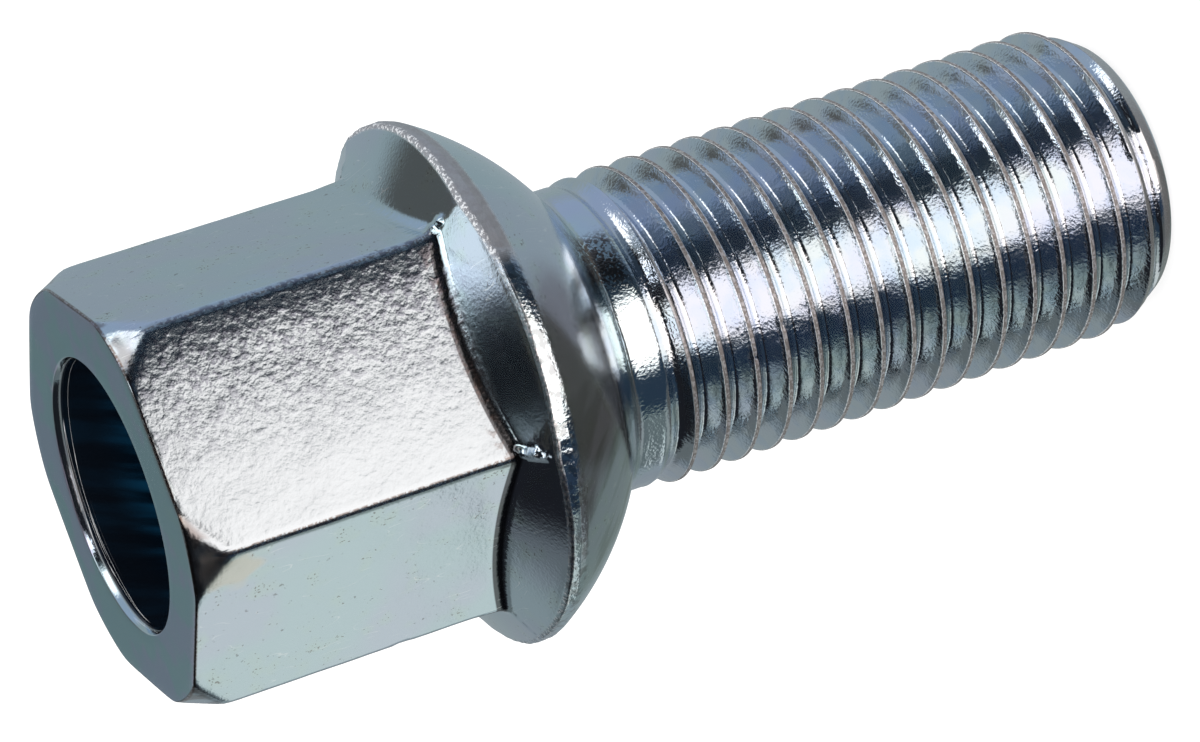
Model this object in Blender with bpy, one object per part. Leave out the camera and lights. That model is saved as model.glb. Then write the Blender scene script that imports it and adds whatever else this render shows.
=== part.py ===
"""Wheel bolt with a hexagon head, a ball seat and a metric thread, forged in one piece.

Units are metres. The bolt stands on its thread end, with the origin at the middle of that
end face and +Z along the axis, towards the head. Two of the hexagon's corners point along +X
and -X, so two of its flats face +Y and -Y.

The bolt is one skin. A half-section is worked out for each angle about the axis, and the skin
is lofted from one half-section to the next. Round stretches have the same half-section at
every angle. On the head it moves in and out with the hexagon, and along the thread it climbs
by one pitch in a turn.
"""

from math import asin, atan, cos, floor, pi, radians, sin, sqrt, tan, tau

import bmesh
import bpy
from mathutils import Vector

# Thread: M14 x 1.5, right-handed
THREAD_DIAMETER = 0.01388
THREAD_PITCH = 0.0015
THREAD_DEPTH = 0.00092
CREST_WIDTH = 0.00019
FLANK_ANGLE = radians(30)
THREAD_LENGTH = 0.0257
RUNOUT_LENGTH = 0.0015
TIP_RUNOUT_LENGTH = 0.0007
ROOT_HEIGHT_AT_X = 0.00088

# Shank and its tip
SHANK_LENGTH = 0.027
NECK_DIAMETER = 0.0134
NECK_FILLET = 0.0006
TIP_DIAMETER = 0.0114
TIP_CHAMFER_ANGLE = radians(31)
TIP_EDGE_RADIUS = 0.0009

# Collar: the ball seat below, the rim, and the shoulder above
SEAT_RADIUS = 0.013
# On a collar wider than the ball, the ball ends here and the underside runs flat to the rim
SEAT_WIDEST_ANGLE = radians(75)
COLLAR_DIAMETER = 0.023
RIM_HEIGHT = 0.0004
RIM_EDGE_RADIUS = 0.00022
SHOULDER_SLOPE = tan(radians(28.8))
SHOULDER_FILLET = 0.0007
# 0 makes the shoulder a plain cone, and 1 makes it six flat slopes that meet in ridges
SHOULDER_FACETING = 0.25

# Hexagon head
ACROSS_FLATS = 0.017
FLAT_LENGTH = 0.01385
HEX_CORNER_RADIUS = 0.0005
# On the end face, the chamfer's circle lies this far outside the flats
END_CHAMFER_REACH = 0.00042
END_CHAMFER_ANGLE = radians(30)
END_EDGE_BREAK = 0.00006

# Round recess in the head's end
RECESS_DIAMETER = 0.0117
RECESS_LIP_WIDTH = 0.00015
RECESS_LIP_DEPTH = 0.0004
RECESS_WALL_DEPTH = 0.0095
RECESS_FLOOR_ANGLE = radians(15)
RECESS_FLOOR_FILLET = 0.0008

# How finely round stretches are divided
COLUMNS_PER_FLAT = 8
FILLET_STEPS = 3
SEAT_STEPS = 6
MERGE_DISTANCE = 1e-6
SHARP_ANGLE = radians(30)

SIDES = 6
FLAT_RADIUS = ACROSS_FLATS / 2
COLLAR_RADIUS = COLLAR_DIAMETER / 2
NECK_RADIUS = NECK_DIAMETER / 2
CREST_RADIUS = THREAD_DIAMETER / 2
ROOT_RADIUS = CREST_RADIUS - THREAD_DEPTH
HALF_SIDE_ANGLE = pi / SIDES
CORNER_ARC_CENTRE = (FLAT_RADIUS - HEX_CORNER_RADIUS) / cos(HALF_SIDE_ANGLE)

SEAT_CENTRE_Z = SHANK_LENGTH + sqrt(SEAT_RADIUS**2 - NECK_RADIUS**2)
SEAT_EDGE_RADIUS = min(COLLAR_RADIUS, SEAT_RADIUS * sin(SEAT_WIDEST_ANGLE))
RIM_BOTTOM_Z = SEAT_CENTRE_Z - sqrt(SEAT_RADIUS**2 - SEAT_EDGE_RADIUS**2)
FLAT_BOTTOM_Z = RIM_BOTTOM_Z + RIM_HEIGHT + SHOULDER_SLOPE * (COLLAR_RADIUS - FLAT_RADIUS)
END_Z = FLAT_BOTTOM_Z + FLAT_LENGTH


def rounded_corner(corner, before, after, radius, steps=FILLET_STEPS):
    """Points of an arc that rounds a half-section's corner between the points before and after it."""
    corner = Vector(corner)
    into = (Vector(before) - corner).normalized()
    out = (Vector(after) - corner).normalized()
    half_angle = into.angle(out) / 2
    tangent = radius / tan(half_angle)
    centre = corner + (into + out).normalized() * radius / sin(half_angle)
    start = corner + into * tangent - centre
    end = corner + out * tangent - centre
    turn = start.angle_signed(end)
    points = []
    for step in range(steps + 1):
        angle = -turn * step / steps
        swung = Vector(
            (
                start.x * cos(angle) - start.y * sin(angle),
                start.x * sin(angle) + start.y * cos(angle),
            )
        )
        points.append(tuple(centre + swung))
    return points


def angle_from_flat(angle):
    """Angle from the middle of the nearest flat, without its sign."""
    side = 2 * HALF_SIDE_ANGLE
    return abs(angle % side - HALF_SIDE_ANGLE)


def hex_radius(from_flat):
    """Distance from the axis to the hexagon, whose corners are rounded."""
    from_corner = HALF_SIDE_ANGLE - from_flat
    if from_corner > corner_arc_angle():
        return FLAT_RADIUS / cos(from_flat)
    across = CORNER_ARC_CENTRE * sin(from_corner)
    return CORNER_ARC_CENTRE * cos(from_corner) + sqrt(HEX_CORNER_RADIUS**2 - across**2)


def corner_arc_angle():
    """Angle from a corner to the end of its rounding, seen from the axis."""
    flat_half = (FLAT_RADIUS - HEX_CORNER_RADIUS) * tan(HALF_SIDE_ANGLE)
    return HALF_SIDE_ANGLE - atan(flat_half / FLAT_RADIUS)


def shoulder_height(from_flat, radius):
    """Height of the shoulder, which sinks from the hexagon out to the rim."""
    reach = radius * cos(from_flat) ** SHOULDER_FACETING
    return FLAT_BOTTOM_Z - SHOULDER_SLOPE * (reach - FLAT_RADIUS)


def recess_section():
    """From the middle of the recess's floor up its wall to the lip."""
    wall_radius = RECESS_DIAMETER / 2
    foot_z = END_Z - RECESS_WALL_DEPTH
    floor_middle = (0, foot_z - wall_radius * tan(RECESS_FLOOR_ANGLE))
    wall_top = (wall_radius, END_Z - RECESS_LIP_DEPTH)
    foot = rounded_corner((wall_radius, foot_z), floor_middle, wall_top, RECESS_FLOOR_FILLET)
    return [floor_middle, *foot, wall_top, (wall_radius + RECESS_LIP_WIDTH, END_Z)]


def hexagon_section(from_flat):
    """Across the end face, over its chamfer and down the hexagon, then out along the shoulder."""
    hexagon = hex_radius(from_flat)
    chamfer = FLAT_RADIUS + END_CHAMFER_REACH
    face_edge = (min(hexagon - END_EDGE_BREAK, chamfer), END_Z)
    chamfer_drop = max(END_EDGE_BREAK, (hexagon - chamfer) / tan(END_CHAMFER_ANGLE))
    hex_top = (hexagon, END_Z - chamfer_drop)
    hex_foot = (hexagon, shoulder_height(from_flat, hexagon))
    rim_top = (COLLAR_RADIUS, shoulder_height(from_flat, COLLAR_RADIUS))
    rim_bottom = (COLLAR_RADIUS, RIM_BOTTOM_Z)
    return [
        face_edge,
        hex_top,
        *rounded_corner(hex_foot, hex_top, rim_top, SHOULDER_FILLET),
        *rounded_corner(rim_top, hex_foot, rim_bottom, RIM_EDGE_RADIUS),
    ]


def seat_section():
    """Round the ball seat from the rim, then through a hollow fillet into the neck."""
    fillet_radius = NECK_RADIUS + NECK_FILLET
    fillet_drop = sqrt((SEAT_RADIUS + NECK_FILLET) ** 2 - fillet_radius**2)
    first = asin(SEAT_EDGE_RADIUS / SEAT_RADIUS)
    last = asin(fillet_radius / (SEAT_RADIUS + NECK_FILLET))
    points = [(COLLAR_RADIUS, RIM_BOTTOM_Z)]
    for step in range(SEAT_STEPS + 1):
        angle = first + (last - first) * step / SEAT_STEPS
        points.append((SEAT_RADIUS * sin(angle), SEAT_CENTRE_Z - SEAT_RADIUS * cos(angle)))
    for step in range(1, FILLET_STEPS + 1):
        angle = last + (pi / 2 - last) * step / FILLET_STEPS
        radius = fillet_radius - NECK_FILLET * sin(angle)
        points.append((radius, SEAT_CENTRE_Z - fillet_drop + NECK_FILLET * cos(angle)))
    return points


def tip_section():
    """From the thread's chamfer round the edge to the middle of the tip's face."""
    edge = (TIP_DIAMETER / 2, 0)
    up_chamfer = (TIP_DIAMETER / 2 + tan(TIP_CHAMFER_ANGLE), 1)
    middle = (0, 0)
    return [*rounded_corner(edge, up_chamfer, middle, TIP_EDGE_RADIUS), middle]


def share(length, whole):
    """Length as a share of the whole, kept between 0 and 1."""
    return min(max(length / whole, 0), 1)


def thread_radius(cut_radius, height, tip_top_z):
    """The thread's radius, faded into the neck at one end and into the tip's chamfer at the other."""
    at_neck = share(THREAD_LENGTH - height, RUNOUT_LENGTH)
    at_tip = share(height - tip_top_z, TIP_RUNOUT_LENGTH)
    radius = NECK_RADIUS + (cut_radius - NECK_RADIUS) * at_neck
    blank = min(CREST_RADIUS, TIP_DIAMETER / 2 + height * tan(TIP_CHAMFER_ANGLE))
    return blank + min(radius - blank, 0) * at_tip


def thread_section(angle, tip_top_z):
    """Down the thread's zigzag, which climbs by one pitch as the angle makes a full turn."""
    flank_width = THREAD_DEPTH * tan(FLANK_ANGLE)
    root_width = THREAD_PITCH - CREST_WIDTH - 2 * flank_width
    crest_middle = THREAD_PITCH / 2
    zigzag = [
        (crest_middle + CREST_WIDTH / 2, CREST_RADIUS),
        (crest_middle - CREST_WIDTH / 2, CREST_RADIUS),
        (root_width / 2, ROOT_RADIUS),
        (-root_width / 2, ROOT_RADIUS),
    ]
    lowest = floor((tip_top_z - ROOT_HEIGHT_AT_X) / THREAD_PITCH) - 2
    highest = floor((THREAD_LENGTH - ROOT_HEIGHT_AT_X) / THREAD_PITCH) + 1
    climb = THREAD_PITCH * angle / tau
    points = []
    for turn in range(highest, lowest - 1, -1):
        for offset, cut_radius in zigzag:
            height = ROOT_HEIGHT_AT_X + turn * THREAD_PITCH + climb + offset
            height = min(max(height, tip_top_z), THREAD_LENGTH)
            points.append((thread_radius(cut_radius, height, tip_top_z), height))
    return points


def half_section(angle):
    """The bolt's outline at one angle, from the recess's floor round to the tip's middle."""
    from_flat = angle_from_flat(angle)
    tip = tip_section()
    return [
        *recess_section(),
        *hexagon_section(from_flat),
        *seat_section(),
        *thread_section(angle, tip[0][1]),
        *tip,
    ]


def column_angles():
    """Angles of the half-sections: each corner's middle and ends, and even steps along each flat."""
    side = 2 * HALF_SIDE_ANGLE
    corner = corner_arc_angle()
    steps = COLUMNS_PER_FLAT - 2
    angles = []
    for number in range(SIDES):
        angles.append(number * side)
        for step in range(steps + 1):
            angles.append(number * side + corner + (side - 2 * corner) * step / steps)
    angles.append(tau)
    return angles


def loft(angles):
    """Skins the half-sections into one closed mesh."""
    shape = bmesh.new()
    columns = []
    for angle in angles:
        column = []
        for radius, height in half_section(angle):
            column.append(shape.verts.new((radius * cos(angle), radius * sin(angle), height)))
        columns.append(column)
    for near, far in zip(columns, columns[1:]):
        for row in range(len(near) - 1):
            shape.faces.new((near[row], near[row + 1], far[row + 1], far[row]))
    bmesh.ops.remove_doubles(shape, verts=shape.verts, dist=MERGE_DISTANCE)
    bmesh.ops.recalc_face_normals(shape, faces=shape.faces)
    return shape


def zinc_plated_steel():
    material = bpy.data.materials.new("zinc_plated_steel")
    material.use_nodes = True
    surface = material.node_tree.nodes["Principled BSDF"]
    surface.inputs["Base Color"].default_value = (0.58, 0.63, 0.66, 1)
    surface.inputs["Metallic"].default_value = 1.0
    surface.inputs["Roughness"].default_value = 0.28
    return material


def make_wheel_bolt():
    mesh = bpy.data.meshes.new("wheel_bolt")
    shape = loft(column_angles())
    shape.to_mesh(mesh)
    shape.free()
    mesh.shade_smooth()
    mesh.set_sharp_from_angle(angle=SHARP_ANGLE)
    mesh.materials.append(zinc_plated_steel())
    bolt = bpy.data.objects.new("wheel_bolt", mesh)
    bpy.context.scene.collection.objects.link(bolt)
    return bolt


for old in list(bpy.data.objects):
    bpy.data.objects.remove(old)
make_wheel_bolt()
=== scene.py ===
"""Looks of the wheel bolt: its forged and rolled skin, the zinc plating, and a small photo studio.

The bolt stands on its thread end with +Z towards the head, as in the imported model. Its skin is
drawn as a turned outline, spun, pressed to a hexagon, and joined to a thread made by a screw.
"""

from math import asin, atan, atan2, cos, degrees, floor, hypot, pi, radians, sin, sqrt, tan, tau

import bpy
import numpy as np
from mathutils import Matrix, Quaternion, Vector, noise


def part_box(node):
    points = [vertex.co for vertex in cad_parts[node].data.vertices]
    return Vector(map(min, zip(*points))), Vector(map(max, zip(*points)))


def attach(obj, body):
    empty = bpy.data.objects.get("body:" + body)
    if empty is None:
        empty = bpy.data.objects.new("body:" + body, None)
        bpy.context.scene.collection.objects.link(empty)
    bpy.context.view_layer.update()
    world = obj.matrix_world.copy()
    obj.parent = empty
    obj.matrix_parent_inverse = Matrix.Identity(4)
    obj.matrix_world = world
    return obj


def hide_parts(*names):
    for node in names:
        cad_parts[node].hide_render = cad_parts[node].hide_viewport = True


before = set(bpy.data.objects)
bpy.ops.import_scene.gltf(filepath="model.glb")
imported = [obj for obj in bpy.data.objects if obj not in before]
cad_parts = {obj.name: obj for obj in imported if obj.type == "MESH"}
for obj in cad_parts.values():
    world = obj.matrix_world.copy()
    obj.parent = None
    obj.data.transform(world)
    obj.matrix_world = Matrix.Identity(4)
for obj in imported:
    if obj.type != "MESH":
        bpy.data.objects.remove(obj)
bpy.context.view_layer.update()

MM = 0.001
BOLT_LOW, BOLT_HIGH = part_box("wheel_bolt")
END_Z = BOLT_HIGH.z
COLLAR_RADIUS = BOLT_HIGH.x

# Thread: M14 x 1.5, right-handed
CREST_RADIUS = 6.94 * MM
PITCH = 1.5 * MM
ROOT_RADIUS = CREST_RADIUS - 0.92 * MM
CREST_WIDTH = 0.19 * MM
CREST_ROUNDING = 0.035 * MM
LAP_SEAM_DEPTH = 0.014 * MM
FLANK_ANGLE = radians(30)
THREAD_LENGTH = 25.7 * MM
RUNOUT_LENGTH = 1.5 * MM
TIP_RUNOUT_LENGTH = 0.7 * MM
ROOT_HEIGHT_AT_X = 0.88 * MM

# Shank and its tip
SHANK_LENGTH = 27 * MM
NECK_RADIUS = 6.7 * MM
NECK_FILLET = 0.6 * MM
TIP_RADIUS = 5.7 * MM
TIP_CHAMFER_ANGLE = radians(31)
TIP_EDGE_RADIUS = 0.9 * MM

# Collar
SEAT_RADIUS = 13 * MM
RIM_HEIGHT = 0.4 * MM
RIM_EDGE_RADIUS = 0.2 * MM
RIM_LOWER_RADIUS = 0.12 * MM
# The angle from the seat's centre to a point of the seat just below the rim
BELOW_RIM_ANGLE = radians(60)
SHOULDER_SLOPE = tan(radians(28.8))
SHOULDER_FILLET = 0.7 * MM
SHOULDER_FACETING = 0.25

# Hexagon head
FLAT_RADIUS = 8.5 * MM
HEX_CORNER_RADIUS = 0.5 * MM
END_CHAMFER_REACH = 0.42 * MM
END_CHAMFER_ANGLE = radians(30)
END_CHAMFER_SOFTNESS = 0.08 * MM
END_EDGE_ROUNDING = 0.05 * MM
END_ROW_DEPTHS = (0.12, 0.22, 0.34, 0.48, 0.64, 0.82, 1.02, 1.24, 1.5, 1.8, 2.2)

# Round recess in the head's end
RECESS_RADIUS = 5.85 * MM
RECESS_LIP_WIDTH = 0.15 * MM
RECESS_LIP_DEPTH = 0.4 * MM
RECESS_LIP_ROUNDING = 0.06 * MM
RECESS_WALL_DEPTH = 9.5 * MM
RECESS_FLOOR_ANGLE = radians(15)
RECESS_FLOOR_FILLET = 0.8 * MM

# How finely the skin is divided
COLUMNS = 240
CORNER_CROWDING = 0.6
FLAT_ROWS = 34
SHOULDER_ROWS = 14
SEAT_ROWS = 22
NECK_ROWS = 6
WALL_ROWS = 10
FILLET_STEPS = 6
MERGE_DISTANCE = 0.0008 * MM
SMOOTH_ANGLE = radians(35)

SIDES = 6
HALF_SIDE_ANGLE = pi / SIDES
CORNER_ARC_CENTRE = (FLAT_RADIUS - HEX_CORNER_RADIUS) / cos(HALF_SIDE_ANGLE)
FLAT_HALF_WIDTH = (FLAT_RADIUS - HEX_CORNER_RADIUS) * tan(HALF_SIDE_ANGLE)
CORNER_X = FLAT_RADIUS * tan(HALF_SIDE_ANGLE)
SEAT_CENTRE_Z = SHANK_LENGTH + sqrt(SEAT_RADIUS**2 - NECK_RADIUS**2)
RIM_BOTTOM_Z = SEAT_CENTRE_Z - sqrt(SEAT_RADIUS**2 - COLLAR_RADIUS**2)
FLAT_BOTTOM_Z = RIM_BOTTOM_Z + RIM_HEIGHT + SHOULDER_SLOPE * (COLLAR_RADIUS - FLAT_RADIUS)

# Unevenness of the forging: the size of its swells and how far they rise
FLAT_SWELL = (1.6 * MM, 0.016 * MM)
RIM_SWELL = (0.3 * MM, 0.05 * MM)
RIM_SWELL_DROP = 0.035 * MM
RIM_SWELL_WIDTH = 0.45 * MM
# The flats are slightly crowned
FLAT_CROWN = 0.003 / MM
# The flat that faces +Y rolls over towards its corner at 120 degrees
ROLL_START = 2.9 * MM
ROLL_RATE = 0.02 / MM
ROLL_FADE = 1.0 * MM
BLEND_AT_END = 0.6 * MM

# Flash left by the dies on the shoulder, in line with the hexagon's corners
BURRS = (
    # azimuth, first and last radius, number of lumps, size, height
    (60.9, 9.1, 10.95, 15, 0.14, 0.22),
    (121.0, 9.75, 10.15, 3, 0.17, 0.16),
    (181.0, 9.9, 11.25, 9, 0.11, 0.07),
    (1.0, 10.0, 11.25, 14, 0.08, -0.045),
    (240.5, 9.7, 10.9, 7, 0.15, 0.11),
    (300.4, 9.9, 11.0, 8, 0.12, 0.08),
)
# How far a burr's lumps wander in degrees, and how they vary in size and height
BURR_WANDER = 1.3
BURR_SIZE_CHANGE = 0.6
BURR_MIDDLE_HEIGHT = 0.7
BURR_HEIGHT_CHANGE = 1.6
# Single nicks and nibs: azimuth, radius, height, size, and how far they rise or sink
NICKS = (
    (107.6, 11.5, 32.42, 0.22, -0.13),
    (84.0, 11.45, 32.62, 0.13, 0.07),
    (71.0, 8.95, 47.93, 0.11, 0.05),
    (122.4, 6.94, 18.35, 0.22, -0.16),
    (65.4, 6.94, 19.81, 0.16, -0.09),
    (57.1, 6.94, 21.33, 0.15, -0.08),
    (98.0, 6.94, 9.2, 0.18, -0.09),
    (203.0, 6.94, 13.6, 0.22, -0.13),
    (268.0, 6.94, 7.3, 0.18, -0.10),
    (322.0, 6.94, 16.9, 0.2, -0.11),
    (230.0, 11.45, 32.3, 0.25, -0.1),
    (318.0, 11.45, 32.45, 0.2, -0.09),
    (240.0, 9.68, 41.5, 0.3, -0.09),
    (0.0, 9.68, 38.4, 0.25, -0.06),
)


def rounded(corner, before, after, radius, steps=FILLET_STEPS):
    """Points of an arc that rounds an outline's corner between the points before and after it."""
    corner = Vector(corner)
    into = (Vector(before) - corner).normalized()
    out = (Vector(after) - corner).normalized()
    half_angle = into.angle(out) / 2
    tangent = radius / tan(half_angle)
    centre = corner + (into + out).normalized() * radius / sin(half_angle)
    start = corner + into * tangent - centre
    end = corner + out * tangent - centre
    turn = start.angle_signed(end)
    points = []
    for step in range(steps + 1):
        angle = -turn * step / steps
        swung_x = start.x * cos(angle) - start.y * sin(angle)
        swung_z = start.x * sin(angle) + start.y * cos(angle)
        points.append((centre.x + swung_x, centre.y + swung_z))
    return points


def between(first, last, rows):
    """Even points inside a straight stretch, without its two ends."""
    points = []
    for row in range(1, rows):
        share = row / rows
        radius = first[0] + (last[0] - first[0]) * share
        points.append((radius, first[1] + (last[1] - first[1]) * share))
    return points


def hex_radius(from_flat):
    """Distance from the axis to the hexagon, at an angle from the middle of its nearest flat."""
    from_corner = HALF_SIDE_ANGLE - from_flat
    if from_flat < atan(FLAT_HALF_WIDTH / FLAT_RADIUS):
        return FLAT_RADIUS / cos(from_flat)
    across = CORNER_ARC_CENTRE * sin(from_corner)
    return CORNER_ARC_CENTRE * cos(from_corner) + sqrt(HEX_CORNER_RADIUS**2 - across**2)


def head_radius(from_flat, depth):
    """Radius at a depth below the end: the hexagon or the turned chamfer, softly the lesser."""
    hexagon = hex_radius(from_flat)
    chamfer = FLAT_RADIUS + END_CHAMFER_REACH + depth * tan(END_CHAMFER_ANGLE)
    apart = (hexagon - chamfer) / 2
    return (hexagon + chamfer) / 2 - sqrt(apart**2 + END_CHAMFER_SOFTNESS**2)


def shoulder_height(from_flat, radius):
    """Height of the shoulder, which sinks from the hexagon out to the rim."""
    reach = radius * cos(from_flat) ** SHOULDER_FACETING
    return FLAT_BOTTOM_Z - SHOULDER_SLOPE * (reach - FLAT_RADIUS)


def recess_outline():
    """From the middle of the recess's floor up its wall and over the lip."""
    foot_z = END_Z - RECESS_WALL_DEPTH
    middle = (0, foot_z - RECESS_RADIUS * tan(RECESS_FLOOR_ANGLE))
    wall_top = (RECESS_RADIUS, END_Z - RECESS_LIP_DEPTH)
    lip = (RECESS_RADIUS + RECESS_LIP_WIDTH, END_Z)
    foot = rounded((RECESS_RADIUS, foot_z), middle, wall_top, RECESS_FLOOR_FILLET)
    top = rounded(wall_top, foot[-1], lip, RECESS_LIP_ROUNDING, 2)
    edge = rounded(lip, wall_top, (FLAT_RADIUS, END_Z), RECESS_LIP_ROUNDING, 3)
    floor_rows = between(middle, foot[0], 5)
    wall_rows = between(foot[-1], top[0], WALL_ROWS)
    return [middle, *floor_rows, *foot, *wall_rows, *top, *edge]


def head_outline(from_flat):
    """From the recess's lip across the end face, down the hexagon and out to the rim's lower edge."""
    hexagon = hex_radius(from_flat)
    lip = (RECESS_RADIUS + RECESS_LIP_WIDTH + RECESS_LIP_ROUNDING, END_Z)
    face_edge = (head_radius(from_flat, 0), END_Z)
    side = []
    for depth in END_ROW_DEPTHS:
        side.append((head_radius(from_flat, depth * MM), END_Z - depth * MM))
    hex_foot = (hexagon, shoulder_height(from_flat, hexagon))
    rim_top = (COLLAR_RADIUS, shoulder_height(from_flat, COLLAR_RADIUS))
    rim_bottom = (COLLAR_RADIUS, RIM_BOTTOM_Z)
    face_round = rounded(face_edge, lip, side[0], END_EDGE_ROUNDING, 3)
    foot_round = rounded(hex_foot, side[-1], rim_top, SHOULDER_FILLET, 8)
    rim_round = rounded(rim_top, hex_foot, rim_bottom, RIM_EDGE_RADIUS)
    below = (SEAT_RADIUS * sin(BELOW_RIM_ANGLE), SEAT_CENTRE_Z - SEAT_RADIUS * cos(BELOW_RIM_ANGLE))
    rim_lower = rounded(rim_bottom, rim_top, below, RIM_LOWER_RADIUS, 3)
    return [
        *between(lip, face_round[0], 5),
        *face_round,
        *side,
        *between(side[-1], foot_round[0], FLAT_ROWS),
        *foot_round,
        *between(foot_round[-1], rim_round[0], SHOULDER_ROWS),
        *rim_round,
        *rim_lower,
    ]


def seat_outline():
    """Round the ball seat from the rim, through a hollow fillet and along the neck to the thread."""
    fillet_radius = NECK_RADIUS + NECK_FILLET
    fillet_drop = sqrt((SEAT_RADIUS + NECK_FILLET) ** 2 - fillet_radius**2)
    first = asin((COLLAR_RADIUS - RIM_LOWER_RADIUS) / SEAT_RADIUS)
    last = asin(fillet_radius / (SEAT_RADIUS + NECK_FILLET))
    points = []
    for step in range(SEAT_ROWS + 1):
        angle = first + (last - first) * step / SEAT_ROWS
        points.append((SEAT_RADIUS * sin(angle), SEAT_CENTRE_Z - SEAT_RADIUS * cos(angle)))
    for step in range(1, FILLET_STEPS + 1):
        angle = last + (pi / 2 - last) * step / FILLET_STEPS
        radius = fillet_radius - NECK_FILLET * sin(angle)
        points.append((radius, SEAT_CENTRE_Z - fillet_drop + NECK_FILLET * cos(angle)))
    neck_foot = (NECK_RADIUS, THREAD_LENGTH)
    return [*points, *between(points[-1], neck_foot, NECK_ROWS), neck_foot]


def tip_outline():
    """From the thread's chamfer round the edge to the middle of the tip's face."""
    edge = (TIP_RADIUS, 0)
    up_chamfer = (TIP_RADIUS + tan(TIP_CHAMFER_ANGLE), 1)
    round_edge = rounded(edge, up_chamfer, (0, 0), TIP_EDGE_RADIUS)
    return [*round_edge, *between(round_edge[-1], (0, 0), 4), (0, 0)]


TIP_TOP_Z = tip_outline()[0][1]


def thread_outline():
    """One pitch of the thread: a rounded root, a straight flank and a crest with a lap seam."""
    flank_width = (CREST_RADIUS - ROOT_RADIUS) * tan(FLANK_ANGLE)
    root_width = PITCH - CREST_WIDTH - 2 * flank_width
    root_round = root_width / 2 / tan(FLANK_ANGLE)
    root_centre = ROOT_RADIUS + root_round
    lean = pi / 2 - FLANK_ANGLE
    points = []
    for step in range(-2, 3):
        angle = lean * step / 2
        points.append((root_centre - root_round * cos(angle), root_round * sin(angle)))
    crest_foot = PITCH / 2 - CREST_WIDTH / 2
    shoulder = (CREST_RADIUS - CREST_ROUNDING, crest_foot)
    points += between(points[-1], shoulder, 2)
    points.append(shoulder)
    points.append((CREST_RADIUS, crest_foot + CREST_ROUNDING))
    points.append((CREST_RADIUS - LAP_SEAM_DEPTH, PITCH / 2))
    points.append((CREST_RADIUS, PITCH - crest_foot - CREST_ROUNDING))
    points.append((CREST_RADIUS - CREST_ROUNDING, PITCH - crest_foot))
    lower_root = (points[0][0], points[0][1] + PITCH)
    points += between(points[-1], lower_root, 2)
    points.append(lower_root)
    return points


def draw_chain(name, outline):
    """Draws an outline in the XZ plane, point by point, as a chain of edges."""
    bpy.ops.object.select_all(action="DESELECT")
    bpy.ops.mesh.primitive_plane_add(size=MM, location=(0, 0, 0))
    chain = bpy.context.active_object
    chain.name = name
    bpy.ops.object.mode_set(mode="EDIT")
    bpy.ops.mesh.select_all(action="SELECT")
    bpy.ops.mesh.merge(type="CENTER")
    pen = Vector((0, 0, 0))
    for number, (radius, height) in enumerate(outline):
        step = Vector((radius, 0, height)) - pen
        if number == 0:
            bpy.ops.transform.translate(value=step)
        else:
            bpy.ops.mesh.extrude_region_move(TRANSFORM_OT_translate={"value": step})
        pen += step
    bpy.ops.object.mode_set(mode="OBJECT")
    return chain


def spin_round(chain):
    """Spins a chain about the bolt's axis into a closed turned surface."""
    bpy.ops.object.select_all(action="DESELECT")
    chain.select_set(True)
    bpy.context.view_layer.objects.active = chain
    bpy.ops.object.mode_set(mode="EDIT")
    bpy.ops.mesh.select_all(action="SELECT")
    bpy.ops.mesh.spin(steps=COLUMNS, angle=tau, center=(0, 0, 0), axis=(0, 0, 1))
    bpy.ops.mesh.select_all(action="SELECT")
    bpy.ops.mesh.remove_doubles(threshold=MERGE_DISTANCE)
    bpy.ops.object.mode_set(mode="OBJECT")


def points_of(piece, field="co"):
    """A piece's vertices, or their normals, as an array of x, y and z."""
    flat = np.empty(len(piece.data.vertices) * 3)
    piece.data.vertices.foreach_get(field, flat)
    return flat.reshape(-1, 3)


def put_points(piece, points):
    piece.data.vertices.foreach_set("co", points.astype(np.float32).ravel())
    piece.data.update()


def crowded(angle):
    """The angle of a column, drawn towards the nearest corner so that corners are round."""
    return angle - CORNER_CROWDING * sin(SIDES * angle) / SIDES


def angle_from_flat(angle):
    side = 2 * HALF_SIDE_ANGLE
    return abs(angle % side - HALF_SIDE_ANGLE)


def press_hexagon(piece, blank):
    """Presses the turned blank's head rows out to the hexagon and the scalloped shoulder."""
    points = points_of(piece)
    around = np.arctan2(points[:, 1], points[:, 0])
    column = np.round(around / tau * COLUMNS).astype(int) % COLUMNS
    away = np.hypot(points[:, 0], points[:, 1])
    blank = np.array(blank)
    first_row = len(recess_outline())
    last_row = first_row + len(head_outline(0))
    neck_row = len(blank) - NECK_ROWS - 1
    apart = np.abs(away[:, None] - blank[:, 0]) + np.abs(points[:, 2][:, None] - blank[:, 1])
    row = apart.argmin(axis=1)
    for number in range(COLUMNS):
        even = tau * number / COLUMNS
        angle = crowded(even)
        pressed = np.vstack((blank[:first_row], head_outline(angle_from_flat(angle)), blank[last_row:]))
        here = column == number
        rows = row[here]
        loosened = np.clip((rows - neck_row) / NECK_ROWS, 0, 1)
        turned = angle + (even - angle) * loosened
        radius = pressed[rows, 0]
        points[here, 0] = radius * np.cos(turned)
        points[here, 1] = radius * np.sin(turned)
        points[here, 2] = pressed[rows, 1]
    put_points(piece, points)


def swell(place, kind, seed=0.0):
    """Height of a soft swell or hollow at a place."""
    size, rise = kind
    return rise * noise.noise(Vector(place) / size + Vector((seed, seed, seed)))


def clamp(value):
    return min(max(value, 0), 1)


def roll_over(x):
    """How far the flat that faces +Y has sunk where it rolls over towards a corner."""
    sunk = ROLL_RATE * min(max(-x - ROLL_START, 0), CORNER_X - ROLL_START) ** 2
    return sunk * clamp((CORNER_X + ROLL_FADE + x) / ROLL_FADE)


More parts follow.
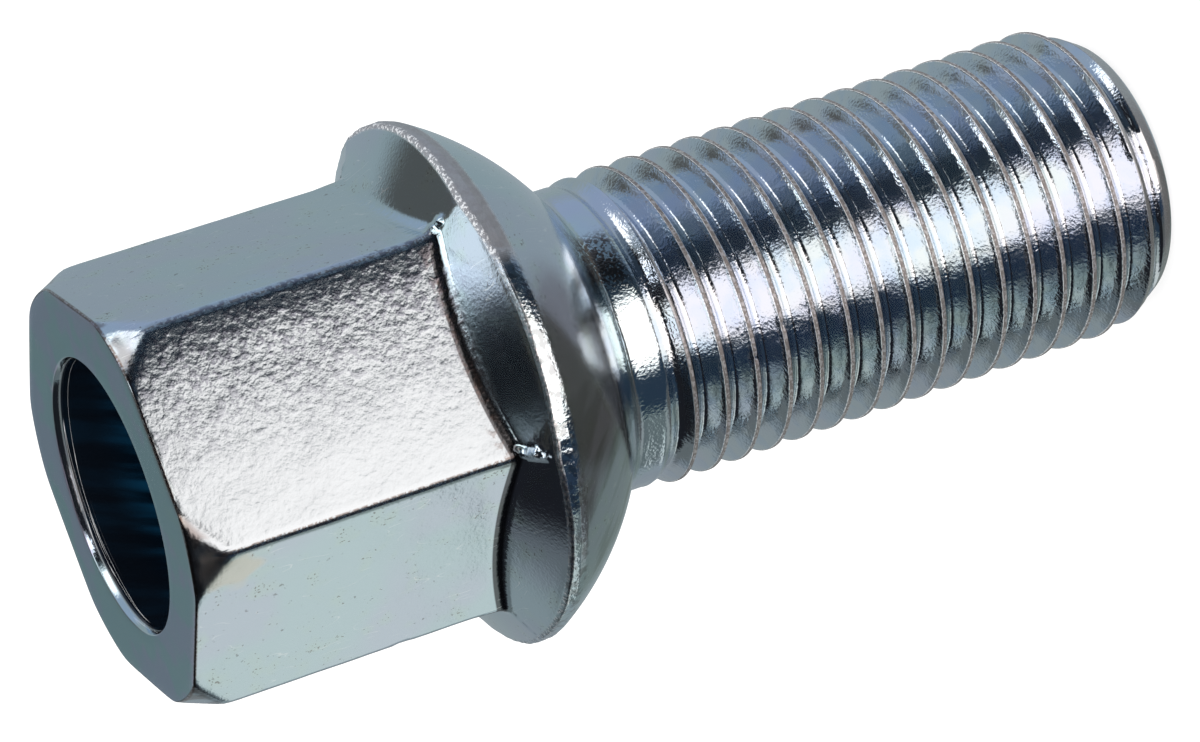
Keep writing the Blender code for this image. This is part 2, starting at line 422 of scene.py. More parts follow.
def work_forging(piece):
    """Gives the pressed head the soft flats and the rough rim of a forging."""
    points = points_of(piece)
    for number, (x, y, z) in enumerate(points):
        away = hypot(x, y)
        if z < RIM_BOTTOM_Z - RIM_EDGE_RADIUS or away < FLAT_RADIUS * 0.9:
            continue
        on_side = clamp((z - FLAT_BOTTOM_Z) / MM) * clamp((END_Z - z) / BLEND_AT_END)
        if y > 0:
            y -= roll_over(x) * on_side
        across = away * sin(angle_from_flat(atan2(y, x)))
        lift = (swell((x, y, z), FLAT_SWELL) - FLAT_CROWN * across**2) * on_side
        on_rim = clamp((away - COLLAR_RADIUS + RIM_SWELL_WIDTH) / RIM_SWELL_WIDTH)
        lift += (swell((x, y, z), RIM_SWELL, 5.0) - RIM_SWELL_DROP) * on_rim
        grown = 1 + lift / away
        points[number] = (x * grown, y * grown, z)
    put_points(piece, points)


def make_blank():
    """The head, collar and neck as a turned blank with the hexagon pressed into it."""
    blank = [*recess_outline(), *head_outline(0), *seat_outline()]
    head = draw_chain("bolt_head", blank)
    spin_round(head)
    press_hexagon(head, blank)
    work_forging(head)
    return head


def make_tip():
    tip = draw_chain("bolt_tip", tip_outline())
    spin_round(tip)
    return tip


def share(length, whole):
    return np.clip(length / whole, 0, 1)


def make_thread():
    """The rolled thread, screwed a little past both ends and then faded into the neck and the tip."""
    outline = thread_outline()
    lowest = floor((TIP_TOP_Z - ROOT_HEIGHT_AT_X) / PITCH) - 2
    highest = floor((THREAD_LENGTH - ROOT_HEIGHT_AT_X) / PITCH) + 1
    start_z = ROOT_HEIGHT_AT_X + lowest * PITCH
    raised = [(radius, height + start_z) for radius, height in outline]
    thread = draw_chain("bolt_thread", raised)
    screw = thread.modifiers.new("roll_thread", "SCREW")
    screw.steps = COLUMNS
    screw.render_steps = COLUMNS
    screw.iterations = highest - lowest + 1
    screw.screw_offset = PITCH
    screw.use_smooth_shade = True
    screw.use_merge_vertices = True
    screw.merge_threshold = MERGE_DISTANCE
    bpy.ops.object.modifier_apply(modifier=screw.name)
    points = points_of(thread)
    away = np.hypot(points[:, 0], points[:, 1])
    height = np.clip(points[:, 2], TIP_TOP_Z, THREAD_LENGTH)
    at_neck = share(THREAD_LENGTH - height, RUNOUT_LENGTH)
    at_tip = share(height - TIP_TOP_Z, TIP_RUNOUT_LENGTH)
    cut = NECK_RADIUS + (away - NECK_RADIUS) * at_neck
    blank = np.minimum(CREST_RADIUS, TIP_RADIUS + height * tan(TIP_CHAMFER_ANGLE))
    radius = blank + np.minimum(cut - blank, 0) * at_tip
    points[:, 0] *= radius / away
    points[:, 1] *= radius / away
    points[:, 2] = height
    put_points(thread, points)
    return thread


def join_skin(parts):
    """Joins the parts into one closed skin with its faces pointing out."""
    bpy.ops.object.select_all(action="DESELECT")
    for part in parts:
        part.select_set(True)
    bpy.context.view_layer.objects.active = parts[0]
    bpy.ops.object.join()
    skin = bpy.context.active_object
    bpy.ops.object.mode_set(mode="EDIT")
    bpy.ops.mesh.select_all(action="SELECT")
    bpy.ops.mesh.remove_doubles(threshold=MERGE_DISTANCE)
    bpy.ops.mesh.dissolve_degenerate(threshold=MERGE_DISTANCE / 10)
    bpy.ops.mesh.normals_make_consistent(inside=False)
    bpy.ops.object.mode_set(mode="OBJECT")
    return skin


def polar(azimuth, radius, height):
    """A point at an azimuth in degrees, with its radius and height in millimetres."""
    angle = radians(azimuth)
    return np.array((radius * cos(angle), radius * sin(angle), height)) * MM


def raise_lump(points, normals, centre, size, rise):
    """Raises a soft lump round a point of the skin, or sinks a nick."""
    apart = np.linalg.norm(points - centre, axis=1)
    lift = rise * MM * np.exp(-((apart / (size * MM)) ** 2))
    points += normals * lift[:, None]


def add_burrs(skin):
    """Raises the flash in line with the corners, and sinks the nicks from handling."""
    points = points_of(skin)
    normals = points_of(skin, "normal")
    for azimuth, first, last, lumps, size, rise in BURRS:
        for number in range(lumps):
            along = number / (lumps - 1)
            rough = noise.noise(Vector((azimuth, number * 1.7, 0.3)))
            radius = first + (last - first) * along
            height = shoulder_height(HALF_SIDE_ANGLE, radius * MM) / MM
            centre = polar(azimuth + rough * BURR_WANDER, radius, height)
            width = size * (1 + rough * BURR_SIZE_CHANGE)
            lift = rise * (BURR_MIDDLE_HEIGHT + rough * BURR_HEIGHT_CHANGE)
            raise_lump(points, normals, centre, width, lift)
    for azimuth, radius, height, size, rise in NICKS:
        raise_lump(points, normals, polar(azimuth, radius, height), size, rise)
    away = np.hypot(points[:, 0], points[:, 1])
    kept = np.minimum(COLLAR_RADIUS / away.clip(MM), 1)
    points[:, 0] *= kept
    points[:, 1] *= kept
    points[:, 2] = points[:, 2].clip(0, END_Z)
    put_points(skin, points)


class Wire:
    """One socket of a node tree. Python's operators on wires add Math nodes."""

    def __init__(self, tree, socket):
        self.tree = tree
        self.socket = socket

    def math(self, operation, *values):
        return add_node(self.tree, "Math", {"operation": operation}, dict(enumerate(values)))

    def __add__(self, other):
        return self.math("ADD", self, other)

    __radd__ = __add__

    def __sub__(self, other):
        return self.math("SUBTRACT", self, other)

    def __rsub__(self, other):
        return self.math("SUBTRACT", other, self)

    def __mul__(self, other):
        return self.math("MULTIPLY", self, other)

    __rmul__ = __mul__

    def __truediv__(self, other):
        return self.math("DIVIDE", self, other)

    def __pow__(self, other):
        return self.math("POWER", self, other)

    def __abs__(self):
        return self.math("ABSOLUTE", self)

    def __mod__(self, other):
        return self.math("FLOORED_MODULO", self, other)

    def __or__(self, other):
        return self.math("MAXIMUM", self, other)


def add_node(tree, kind, settings, inputs, output=0):
    """Adds a shader node of a kind, with its settings and its sockets' values or wires."""
    node = tree.nodes.new("ShaderNode" + kind)
    for name, value in settings.items():
        setattr(node, name, value)
    for name, value in inputs.items():
        if isinstance(value, Wire):
            tree.links.new(value.socket, node.inputs[name])
        else:
            node.inputs[name].default_value = value
    return Wire(tree, node.outputs[output])


def add_output(tree, kind, inputs):
    """Adds a node that has no outputs of its own."""
    node = tree.nodes.new("ShaderNode" + kind)
    for name, wire in inputs.items():
        tree.links.new(wire.socket, node.inputs[name])


def smooth(value, low, high):
    """0 below low, 1 above high and an S curve between them."""
    settings = {"interpolation_type": "SMOOTHSTEP", "clamp": True}
    return add_node(value.tree, "MapRange", settings, {0: value, 1: low, 2: high})


def window(value, low, high, soft):
    """1 between low and high, with soft edges inside them."""
    return smooth(value, low, low + soft) * (1 - smooth(value, high - soft, high))


def mixed(factor, first, second):
    """A colour between two others."""
    colours = [(*tone, 1) if isinstance(tone, tuple) else tone for tone in (first, second)]
    inputs = {0: factor, 6: colours[0], 7: colours[1]}
    return add_node(factor.tree, "Mix", {"data_type": "RGBA"}, inputs, 2)


def noisy(place, scale, detail=2.0, rough=0.5):
    """Soft noise from 0 to 1, with a scale in waves to the millimetre."""
    inputs = {"Vector": place, "Scale": scale, "Detail": detail, "Roughness": rough}
    return add_node(place.tree, "TexNoise", {}, inputs)


def new_material(name):
    material = bpy.data.materials.new(name)
    material.use_nodes = True
    material.node_tree.nodes.clear()
    return material


def joined(x, y, z):
    """A vector from three wires."""
    return add_node(x.tree, "CombineXYZ", {}, {0: x, 1: y, 2: z})


def stretched(place, turn, scale):
    """The place turned and scaled, so that noise on it runs one way."""
    inputs = {"Vector": place, "Rotation": turn, "Scale": scale}
    return add_node(place.tree, "Mapping", {}, inputs)


def hairlines(place, turn, fine):
    """Sparse fine scratches that run one way."""
    field = noisy(stretched(place, turn, (fine, fine * 0.13, fine * 0.13)), 1.0, 1.0)
    patches = smooth(noisy(place, 0.8), 0.52, 0.62)
    return (1 - smooth(abs(field - 0.5), 0.0, 0.010)) * patches


# Colours of the plating, of what lies on it, and of painted shade and highlights
ZINC_TEAL = (0.58, 0.69, 0.73)
ZINC_LILAC = (0.60, 0.66, 0.74)
END_LILAC = (0.70, 0.62, 0.80)
ZINC_GREEN = (0.60, 0.71, 0.69)
THREAD_ZINC = (0.63, 0.69, 0.71)
THREAD_BLUE = (0.57, 0.66, 0.74)
# A darker copy of the zinc for the flat that faces +Y: painted shade against the key card's glare
LIT_FLAT_PAINTED_SHADE = (0.42, 0.475, 0.505)
WORN_CREST = (0.17, 0.155, 0.15)
BROWN = (0.17, 0.13, 0.11)
DARK_BROWN = (0.14, 0.09, 0.07)
BEIGE = (0.82, 0.77, 0.68)
MOTTLE_AND_SHADE = (0.20, 0.215, 0.26)
BRIGHT = (0.93, 0.94, 0.95)
DULL_RIM = (0.22, 0.22, 0.235)
SEAT_SHADE = (0.34, 0.40, 0.39)
TIP_GREY = (0.42, 0.43, 0.44)
# Painted shade for the inside of the recess
RECESS_MOUTH_PAINTED_SHADE = (0.004, 0.006, 0.01)
RECESS_PAINTED_SHADE = (0.0, 0.006, 0.014)
RECESS_NAVY_PAINTED_SHADE = (0.005, 0.06, 0.13)
FOOT_SHADE_BLACK = (0.04, 0.035, 0.035)

# Heights and radii in millimetres, as the plating's masks read them
THREAD_TOP = THREAD_LENGTH / MM
NECK_TOP = SHANK_LENGTH / MM
RIM_BOTTOM = RIM_BOTTOM_Z / MM
FLAT_BOTTOM = FLAT_BOTTOM_Z / MM
HEAD_TOP = END_Z / MM
CREST_REACH = CREST_RADIUS / MM
NECK_REACH = NECK_RADIUS / MM
FLAT_REACH = FLAT_RADIUS / MM
RIM_REACH = COLLAR_RADIUS / MM
RECESS_REACH = RECESS_RADIUS / MM
CHAMFER_REACH = (FLAT_RADIUS + END_CHAMFER_REACH) / MM
CHAMFER_DEPTH = 1.4
TIP_TOP = (CREST_RADIUS - TIP_RADIUS) / tan(TIP_CHAMFER_ANGLE) / MM
# Shares of a pitch that the crest and its bright edge take up
CREST_SPAN = (0.43, 0.57)
CREST_EDGE_SPAN = (0.550, 0.586)
# Azimuths in degrees of marks that show on one side only
DARK_NECK_SPAN = (93, 123)
PAINTED_SEAT_HIGHLIGHT_SPAN = (88, 112)
SEAT_SHADE_FADE = (55, 85)
DULL_RIM_START = (101, 107)
LIP_RING_FADE = (-30, 20)
FOOT_SHADE_FADE = (117.5, 122)
STAIN_MIDDLE = (5.3, 7.5, 46.4)
STAIN_HEIGHT_SCALE = 0.75
# Waves to the millimetre of the noises that break up the surface
FINE_WAVES = 7.5
MIDDLING_WAVES = 3.0
COARSE_WAVES = 0.9
BROAD_WAVES = 0.22
FOOT_MARK_WAVES = 6.5


def zinc_plating():
    """Bright zinc with a blue-grey passivation, matt on the crests and edges, bumpy on the flats, with
    painted shade and highlights in a few places.
    """
    material = new_material("zinc_plating")
    tree = material.node_tree
    coordinates = add_node(tree, "TexCoord", {}, {}, "Object")
    place = add_node(tree, "VectorMath", {"operation": "SCALE"}, {0: coordinates, "Scale": 1 / MM})
    x, y, z = (add_node(tree, "SeparateXYZ", {}, {0: place}, axis) for axis in range(3))
    radius = (x * x + y * y) ** 0.5
    around = x.math("ARCTAN2", y, x)
    side = 2 * HALF_SIDE_ANGLE
    from_flat = abs(around % side - HALF_SIDE_ANGLE)
    across = radius * from_flat.math("SINE", from_flat)
    outward = radius * from_flat.math("COSINE", from_flat)
    reach = radius * from_flat.math("COSINE", from_flat) ** SHOULDER_FACETING
    over_shoulder = z - FLAT_BOTTOM + (reach - FLAT_REACH) * SHOULDER_SLOPE

    fine = noisy(place, FINE_WAVES, 1.5)
    middling = noisy(place, MIDDLING_WAVES, 2.5)
    coarse = noisy(place, COARSE_WAVES, 1.0)
    broad = noisy(place, BROAD_WAVES, 1.0)
    streaks = noisy(joined(around * 7.0 + z * 0.5, z * 0.2, radius * 0.3), 1.0, 2.0)

    # Where the surface is
    pitches = (z - ROOT_HEIGHT_AT_X / MM) / (PITCH / MM) - around / tau
    pitch_place = pitches % 1
    on_thread = 1 - smooth(z, THREAD_TOP - 0.5, THREAD_TOP)
    full_thread = smooth(radius, CREST_REACH - 0.08, CREST_REACH - 0.04) * on_thread
    tip_cone = TIP_RADIUS / MM + z * tan(TIP_CHAMFER_ANGLE)
    on_tip = smooth(radius - tip_cone, -0.05, -0.01) * (1 - smooth(z, TIP_TOP - 0.16, TIP_TOP + 0.24))
    crest = window(pitch_place, *CREST_SPAN, 0.012) * full_thread
    crest_edge = window(pitch_place, *CREST_EDGE_SPAN, 0.012) * full_thread
    flank = on_thread * (1 - full_thread)
    on_neck = window(z, THREAD_TOP - 0.3, NECK_TOP + 0.6, 0.4)
    on_seat = window(z, NECK_TOP + 0.4, RIM_BOTTOM + 0.02, 0.4)
    on_seat = on_seat * smooth(radius, NECK_REACH + 0.5, NECK_REACH + 0.9)
    on_rim = smooth(radius, RIM_REACH - 0.3, RIM_REACH - 0.15)
    rim_edge = window(over_shoulder, -0.15, 0.03, 0.04)
    rim_edge = rim_edge * smooth(radius, RIM_REACH - 0.28, RIM_REACH - 0.2)
    on_shoulder = window(z, RIM_BOTTOM + 0.22, FLAT_BOTTOM + 0.17, 0.3) * (1 - on_rim)
    on_shoulder = on_shoulder * smooth(radius, FLAT_REACH + 0.2, FLAT_REACH + 0.5)
    on_side = window(z, FLAT_BOTTOM - 0.43, HEAD_TOP - 0.04, 0.25)
    on_side = on_side * smooth(radius, FLAT_REACH - 0.6, FLAT_REACH - 0.3)
    arc_start = FLAT_HALF_WIDTH / MM
    on_corner = smooth(across, arc_start, arc_start + 0.06) * on_side
    on_flat = on_side * (1 - on_corner)
    bright_flat = smooth(y, FLAT_REACH - 0.4, FLAT_REACH - 0.2) * on_side
    towards_roll = smooth(x * -1, -3.5, 4.6)
    in_recess = 1 - smooth(radius, RECESS_REACH + 0.02, RECESS_REACH + 0.07)
    in_recess = in_recess * smooth(z, NECK_TOP + 3, NECK_TOP + 4)
    on_end = smooth(z, HEAD_TOP - 0.08, HEAD_TOP - 0.01)
    foot = window(z, FLAT_BOTTOM - 0.63, FLAT_BOTTOM + 0.62, 0.3) * (1 - on_shoulder * 0.6)
    foot = foot * smooth(radius, FLAT_REACH - 0.2, FLAT_REACH)
    chamfer = radius - (HEAD_TOP - z) * tan(END_CHAMFER_ANGLE)
    on_chamfer = smooth(chamfer, CHAMFER_REACH - 0.2, CHAMFER_REACH - 0.06) * (1 - on_end)
    on_chamfer = on_chamfer * smooth(z, HEAD_TOP - CHAMFER_DEPTH - 0.28, HEAD_TOP - CHAMFER_DEPTH + 0.02)

    # Tints of the passivation
    tint = mixed(smooth(broad, 0.4, 0.6), ZINC_TEAL, ZINC_LILAC)
    plating = mixed(smooth(coarse, 0.5, 0.75) * 0.6, tint, ZINC_GREEN)
    plating = mixed(on_end * smooth(coarse * 0.4 + broad, 0.62, 0.74) * 0.8, plating, END_LILAC)
    thread_tint = mixed(smooth(coarse, 0.42, 0.62) * 0.8, THREAD_ZINC, THREAD_BLUE)
    thread_tint = mixed(smooth(broad, 0.48, 0.6) * 0.18, thread_tint, END_LILAC)
    plating = mixed(on_thread, plating, thread_tint)
    # Painted shade: the flat that faces +Y reflects the bright key card, so it gets a darker copy of the
    # zinc and doesn't burn out
    plating = mixed(bright_flat, plating, LIT_FLAT_PAINTED_SHADE)

    # Wear, stains and dirt, with painted shade and highlights where marked
    ragged = smooth(fine, 0.38, 0.54)
    crest_wear = mixed(smooth(fine, 0.36, 0.56), BROWN, WORN_CREST)
    plating = mixed(crest * (0.65 + ragged * 0.35), plating, crest_wear)
    plating = mixed(crest_edge * smooth(fine, 0.44, 0.52), plating, BRIGHT)
    plating = mixed(on_tip, plating, TIP_GREY)
    arc_line = window(across, arc_start + 0.08, arc_start + 0.3, 0.06) * on_side
    plating = mixed(arc_line * ragged * 0.7, plating, BROWN)
    flat_edge = smooth(outward, FLAT_REACH - 0.12, FLAT_REACH - 0.05)
    chamfer_edge = smooth(radius, CHAMFER_REACH - 0.1, CHAMFER_REACH - 0.04)
    end_line = (flat_edge | chamfer_edge) * smooth(z, HEAD_TOP - 0.16, HEAD_TOP - 0.08)
    plating = mixed(end_line * (0.45 + ragged * 0.45), plating, BROWN)
    plating = mixed(on_chamfer * smooth(coarse, 0.4, 0.55) * 0.6, plating, DARK_BROWN)
    turned = around * degrees(1)
    # A black line in the crease at the hexagon's foot: painted shade of an undercut groove, with dirt
    foot_shade_line = window(over_shoulder, 0.05, 0.5, 0.08)
    foot_shade_line = foot_shade_line * window(outward, FLAT_REACH - 0.2, FLAT_REACH + 0.45, 0.15)
    foot_shade_line = foot_shade_line * (1 - smooth(radius, RIM_REACH - 1.6, RIM_REACH - 1.5))
    foot_shade_line = foot_shade_line * (1 - smooth(turned, *FOOT_SHADE_FADE))
    plating = mixed(foot_shade_line * 0.85, plating, FOOT_SHADE_BLACK)
    # Dark mottles on the flat that faces +Y, stronger towards its rolled corner: uneven passivation, and
    # partly painted shade that stands in for darker reflections in the bumpy flat
    mottles_and_shade = smooth(middling * 0.6 + fine * 0.4, 0.49, 0.57) * bright_flat * towards_roll
    plating = mixed(mottles_and_shade * 0.85, plating, MOTTLE_AND_SHADE)
    plating = mixed(foot * bright_flat * smooth(middling, 0.46, 0.58) * 0.4, plating, DARK_BROWN)
    # A dark brown grainy patch on the neck, between these azimuths
    dark_neck_patch = window(turned, *DARK_NECK_SPAN, 8) * window(z, THREAD_TOP - 0.4, NECK_TOP + 1.3, 0.7)
    dark_neck_patch = dark_neck_patch * smooth(fine + coarse * 0.5, 0.62, 0.8)
    plating = mixed(dark_neck_patch * 0.9, plating, DARK_BROWN)
    # Painted highlight: a bright patch on the seat where a light is reflected
    painted_seat_highlight = window(turned, *PAINTED_SEAT_HIGHLIGHT_SPAN, 9) * window(z, NECK_TOP + 0.9, NECK_TOP + 2.3, 0.6)
    plating = mixed(painted_seat_highlight * 0.9, plating, BRIGHT)
    spots = smooth(middling, 0.68, 0.76) * (on_flat | on_seat) * (1 - bright_flat)
    plating = mixed(spots * 0.55, plating, WORN_CREST)
    pits = smooth(fine + coarse * 0.5, 0.97, 1.03) * (1 - bright_flat)
    pits = pits * (on_flat | on_seat | on_shoulder)
    plating = mixed(pits * 0.6, plating, BROWN)
    stain_x, stain_y, stain_z = STAIN_MIDDLE
    stain_place = joined(x - stain_x, y - stain_y, (z - stain_z) * STAIN_HEIGHT_SCALE)
    from_stain = add_node(tree, "VectorMath", {"operation": "LENGTH"}, {0: stain_place}, "Value")
    stain = (1 - smooth(from_stain + coarse * 1.6, 1.55, 2.1)) * on_flat * (1 - bright_flat)
    plating = mixed(stain * 0.75, plating, BEIGE)
    scratches = hairlines(place, (0.4, 0.9, 0.3), 2.6)
    scratched = scratches * (on_shoulder | on_flat * 0.5 | on_seat * 0.5 | on_end * 0.4)
    scratched = scratched * (1 - bright_flat)
    plating = mixed(scratched * 0.8, plating, BRIGHT)
    plating = mixed(on_rim * smooth(middling, 0.45, 0.6) * 0.5, plating, WORN_CREST)
    dull_rim = on_rim * smooth(turned, *DULL_RIM_START)
    plating = mixed(dull_rim * 0.9, plating, DULL_RIM)
    lower_seat = on_seat * (1 - smooth(turned, *SEAT_SHADE_FADE))
    plating = mixed(lower_seat * smooth(streaks, 0.47, 0.62) * 0.7, plating, SEAT_SHADE)
    plating = mixed(rim_edge * smooth(fine, 0.5, 0.62) * (1 - dull_rim * 0.4), plating, BRIGHT)
    # Painted shade inside the recess: near-black with navy streaks, darkest towards the mouth, where it
    # also hides the lamps' reflection in the wall
    recess_painted_shade = mixed(smooth(streaks, 0.42, 0.74), RECESS_PAINTED_SHADE, RECESS_NAVY_PAINTED_SHADE)
    recess_painted_shade = mixed(smooth(z, HEAD_TOP - 4.0, HEAD_TOP - 1.5) * 0.9, recess_painted_shade, RECESS_MOUTH_PAINTED_SHADE)
    plating = mixed(in_recess, plating, recess_painted_shade)
    lip_ring = window(z, HEAD_TOP - 0.73, HEAD_TOP - 0.08, 0.1) * (1 - smooth(turned, *LIP_RING_FADE))
    lip_ring = lip_ring * smooth(radius, RECESS_REACH - 0.15, RECESS_REACH - 0.05)
    lip_ring = lip_ring * (1 - smooth(radius, RECESS_REACH + 0.2, RECESS_REACH + 0.25))
    ring_noise = noisy(joined(around * 0.7, radius * 0.1, z * 7.0), 1.0, 1.0)
    rings = 1 - smooth(abs(ring_noise - 0.5), 0.0, 0.025)
    plating = mixed(lip_ring * rings, plating, BRIGHT)

    # Height in millimetres of what is too fine for the mesh
    foot_marks = noisy(stretched(place, (0.0, 0.0, 0.0), (1.0, 1.0, 0.12)), FOOT_MARK_WAVES, 1.0)
    grainy = smooth(coarse, 0.35, 0.65)
    calm = on_end | in_recess | on_seat * 0.7
    height = fine * (0.0042 - calm * 0.0034 + (flank | on_neck) * (0.005 + grainy * 0.012))
    height = height + middling * (on_flat * 0.007 + foot * (1 - bright_flat) * 0.006)
    height = height + middling * bright_flat * (0.008 + towards_roll * 0.018)
    height = height + fine * (on_rim * 0.012 + crest_edge * 0.02 + crest * 0.008)
    height = height + foot_marks * foot * (1 - bright_flat) * 0.012
    height = height + streaks * on_seat * 0.016
    relief = add_node(tree, "Bump", {}, {"Strength": 1.0, "Distance": MM, "Height": height})

    worn = crest | on_tip * 0.4 | dull_rim * 0.9
    roughness = 0.07 + worn * 0.30 + on_end * 0.14 + on_seat * 0.05 + in_recess * 0.08
    roughness = roughness + on_side * 0.05 + bright_flat * 0.06 + rim_edge * 0.2
    roughness = roughness + stain * 0.1 + coarse * 0.04
    surface = add_node(
        tree,
        "BsdfPrincipled",
        {},
        {
            "Base Color": plating,
            "Metallic": 1 - (worn * 0.5 | in_recess * 0.7),
            "Roughness": roughness,
            "Normal": relief,
        },
    )
    add_output(tree, "OutputMaterial", {"Surface": surface})
    return material


def make_bolt():
    skin = join_skin([make_blank(), make_thread(), make_tip()])
    add_burrs(skin)
    bpy.ops.object.shade_smooth_by_angle(angle=SMOOTH_ANGLE)
    skin.name = "zinc_plated_bolt"
    skin.data.name = skin.name
    skin.data.materials.clear()
    skin.data.materials.append(zinc_plating())
    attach(skin, "root")
    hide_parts("wheel_bolt")
    return skin


# Reflections in the metal. Strips lie between azimuths and elevations, and discs round a direction
TENT_RADIUS = 200 * MM
TENT_TONE = (0.36, 0.42, 0.45)
WHITE = (2.3, 2.05, 1.95)
BLACK = (0.015, 0.016, 0.02)
GLINT = (2.1, 2.2, 2.3)
STRIPS = (
    # azimuth, elevation, half width, half height, softness, colour
    (-70, 8, 24, 34, 8, (0.32, 0.36, 0.38)),
    (-62, -47, 36, 19, 6, (0.21, 0.25, 0.24)),
    (-130, 66, 50, 22, 6, (0.14, 0.135, 0.125)),
    (-122, 40, 28, 12, 5, (0.11, 0.11, 0.11)),
    (-165, 45, 18, 8, 4, (0.16, 0.17, 0.19)),
    (178, 3, 29, 42, 7, (0.38, 0.46, 0.60)),
    (0, -84, 181, 12, 6, (0.22, 0.22, 0.24)),
    (20, -76, 110, 17, 6, (0.085, 0.08, 0.075)),
    (48, 46, 90, 48, 5, BLACK),
    (-40, 68, 35, 24, 6, BLACK),
    (-50, 26, 9, 22, 5, (0.16, 0.18, 0.19)),
    (-105, 86, 60, 12, 6, (0.06, 0.055, 0.05)),
    (28, -26, 19, 38, 5, (0.03, 0.05, 0.08)),
    (120, -22, 18, 44, 5, (0.03, 0.045, 0.065)),
    (143, -22, 9, 44, 6, (0.15, 0.20, 0.27)),
    (-8, -12, 20, 10, 4, (0.50, 0.56, 0.53)),
    (-14, -25, 28, 8, 3, (0.17, 0.20, 0.20)),
    (-25, -10.5, 15, 7, 1.5, (0.77, 0.81, 0.79)),
    (-14, -36, 24, 7, 3, (0.36, 0.39, 0.38)),
    (-14, -52, 24, 9, 3, (0.12, 0.12, 0.12)),
    (75, -32, 26, 31, 5, WHITE),
    (67, 12, 18, 19, 5, WHITE),
    (48, 66, 27, 5, 3, (0.8, 0.84, 0.88)),
)
DISCS = (
    # azimuth, elevation, radius, softness, colour
    (117, 42, 6, 3, GLINT),
    (123, 54, 7, 3, GLINT),
    (141, 64, 6, 4, GLINT),
    (163, 66, 7, 4, GLINT),
    (-150, 66, 7, 4, (1.0, 1.1, 1.15)),
    (-97, 21, 12, 6, (0.15, 0.22, 0.235)),
    (155, 29, 12, 4, (1.9, 1.9, 1.9)),
)


def reflection_tent():
    """A dome that only reflections see, with soft bright and dark cards on it."""
    material = new_material("tent_cloth")
    tree = material.node_tree
    coordinates = add_node(tree, "TexCoord", {}, {}, "Object")
    way = add_node(tree, "VectorMath", {"operation": "NORMALIZE"}, {0: coordinates})
    x, y, z = (add_node(tree, "SeparateXYZ", {}, {0: way}, axis) for axis in range(3))
    around = x.math("ARCTAN2", y, x) * degrees(1)
    up = z.math("ARCSINE", z) * degrees(1)
    tone = TENT_TONE
    for azimuth, elevation, half_width, half_height, soft, colour in STRIPS:
        aside = abs((around - azimuth + 180) % 360 - 180)
        above = abs(up - elevation)
        reach = 1 - smooth(aside, half_width - soft, half_width + soft)
        reach = reach * (1 - smooth(above, half_height - soft, half_height + soft))
        tone = mixed(reach, tone, colour)
    for azimuth, elevation, size, soft, colour in DISCS:
        flat = cos(radians(elevation))
        middle = (
            flat * cos(radians(azimuth)),
            flat * sin(radians(azimuth)),
            sin(radians(elevation)),
        )
        facing = add_node(
            tree, "VectorMath", {"operation": "DOT_PRODUCT"}, {0: way, 1: middle}, "Value"
        )
        apart = facing.math("ARCCOSINE", facing) * degrees(1)
        tone = mixed(1 - smooth(apart, size - soft, size + soft), tone, colour)
    glow = add_node(tree, "Emission", {}, {"Color": tone, "Strength": 1.0})
    add_output(tree, "OutputMaterial", {"Surface": glow})
    material.cycles.emission_sampling = "NONE"
    bpy.ops.object.select_all(action="DESELECT")
    bpy.ops.mesh.primitive_uv_sphere_add(segments=48, ring_count=24, radius=TENT_RADIUS)
    tent = bpy.context.active_object
    tent.name = "reflection_tent"
    tent.location = (0, 0, END_Z / 2)
    tent.data.materials.append(material)
    tent.visible_camera = False
    tent.visible_diffuse = False
    tent.visible_shadow = False
    tent.visible_transmission = False


def pale_floor():
    material = new_material("pale_board")
    tree = material.node_tree
    coordinates = add_node(tree, "TexCoord", {}, {}, "Object")
    mottle = noisy(coordinates, 40.0)
    shade = mixed(mottle, (0.93, 0.93, 0.93), (0.95, 0.95, 0.95))
    board = add_node(
        tree,
        "BsdfPrincipled",
        {},
        {
            "Base Color": (0.2, 0.2, 0.2, 1),
            "Roughness": 1.0,
            "Specular IOR Level": 0.0,
            "Emission Color": shade,
            "Emission Strength": 0.9,
        },
    )
    add_output(tree, "OutputMaterial", {"Surface": board})
    bpy.ops.object.select_all(action="DESELECT")
    bpy.ops.mesh.primitive_plane_add(size=FLOOR_SIZE)
    board_object = bpy.context.active_object
    board_object.name = "pale_floor"
    board_object.data.materials.append(material)
    board_object.visible_glossy = False


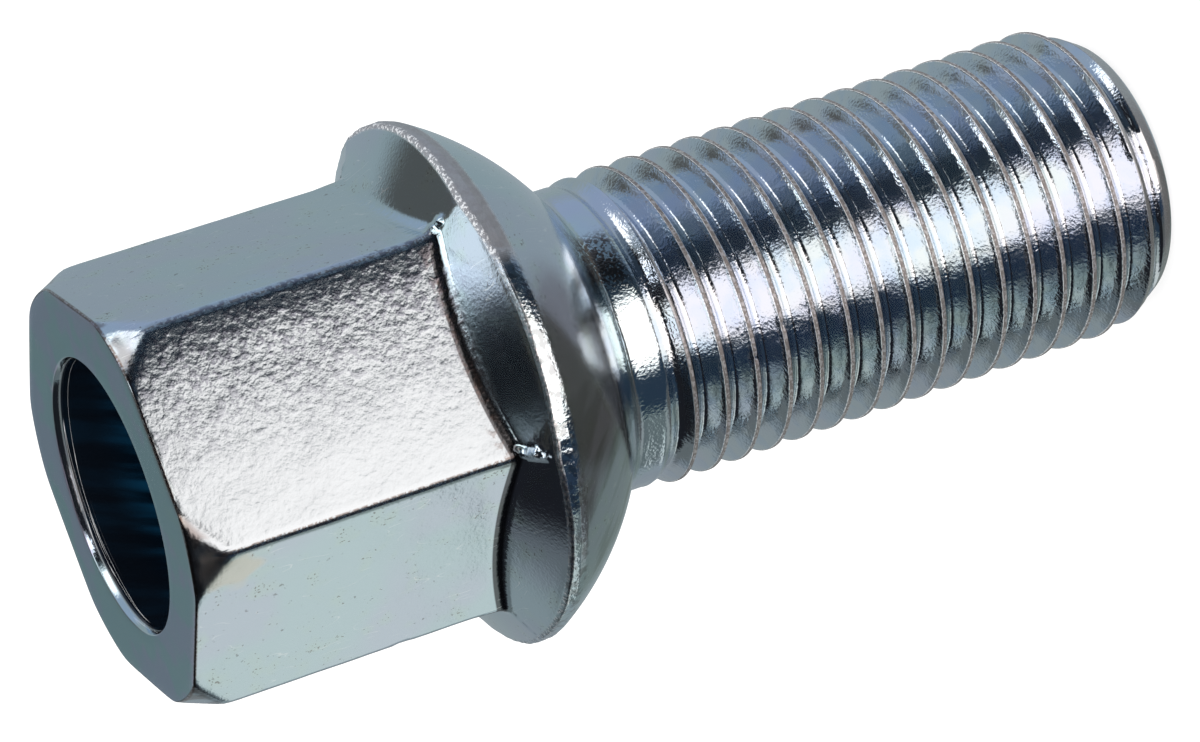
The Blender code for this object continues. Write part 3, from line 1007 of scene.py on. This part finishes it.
def soft_light(name, place, size, power):
    """A square area light that faces the bolt and doesn't show in it."""
    lamp = bpy.data.lights.new(name, "AREA")
    lamp.size = size
    lamp.energy = power
    light = bpy.data.objects.new(name, lamp)
    light.location = place
    aim = Vector((0, 0, END_Z / 2)) - Vector(place)
    light.rotation_euler = aim.to_track_quat("-Z", "Y").to_euler()
    light.visible_glossy = False
    bpy.context.scene.collection.objects.link(light)


# Camera: fitted to the photo, which shows the bolt lying with its head at the lower left
PHOTO_WIDTH = 1200
FOCAL_PIXELS = 5068.8
SENSOR_WIDTH = 36
FLOOR_SIZE = 6
CAMERA_AIM = Vector((1.428, -0.273, 25.768)) * MM
CAMERA_DISTANCE = 216.11 * MM
CAMERA_AZIMUTH = radians(82.536)
CAMERA_ELEVATION = radians(20.868)
CAMERA_ROLL = radians(-108.374)


def photo_camera():
    back = Vector(
        (
            cos(CAMERA_AZIMUTH) * cos(CAMERA_ELEVATION),
            sin(CAMERA_AZIMUTH) * cos(CAMERA_ELEVATION),
            sin(CAMERA_ELEVATION),
        )
    )
    lens = bpy.data.cameras.new("photo_camera")
    lens.sensor_width = SENSOR_WIDTH
    lens.lens = FOCAL_PIXELS / PHOTO_WIDTH * SENSOR_WIDTH
    lens.clip_start = 5 * MM
    camera = bpy.data.objects.new("photo_camera", lens)
    camera.location = CAMERA_AIM + back * CAMERA_DISTANCE
    level = (-back).to_track_quat("-Z", "Y")
    camera.rotation_mode = "QUATERNION"
    camera.rotation_quaternion = level @ Quaternion((0, 0, 1), CAMERA_ROLL)
    bpy.context.scene.collection.objects.link(camera)
    bpy.context.scene.camera = camera


def studio():
    scene = bpy.context.scene
    scene.view_settings.view_transform = "Standard"
    scene.world = bpy.data.worlds.new("studio_air")
    scene.world.color = (0.8, 0.8, 0.8)
    pale_floor()
    reflection_tent()
    soft_light("over_light", (0.2, 0.5, 1.2), 1.0, 22)
    soft_light("side_light", (-0.8, -0.3, 0.9), 0.8, 10)
    photo_camera()


make_bolt()
studio()
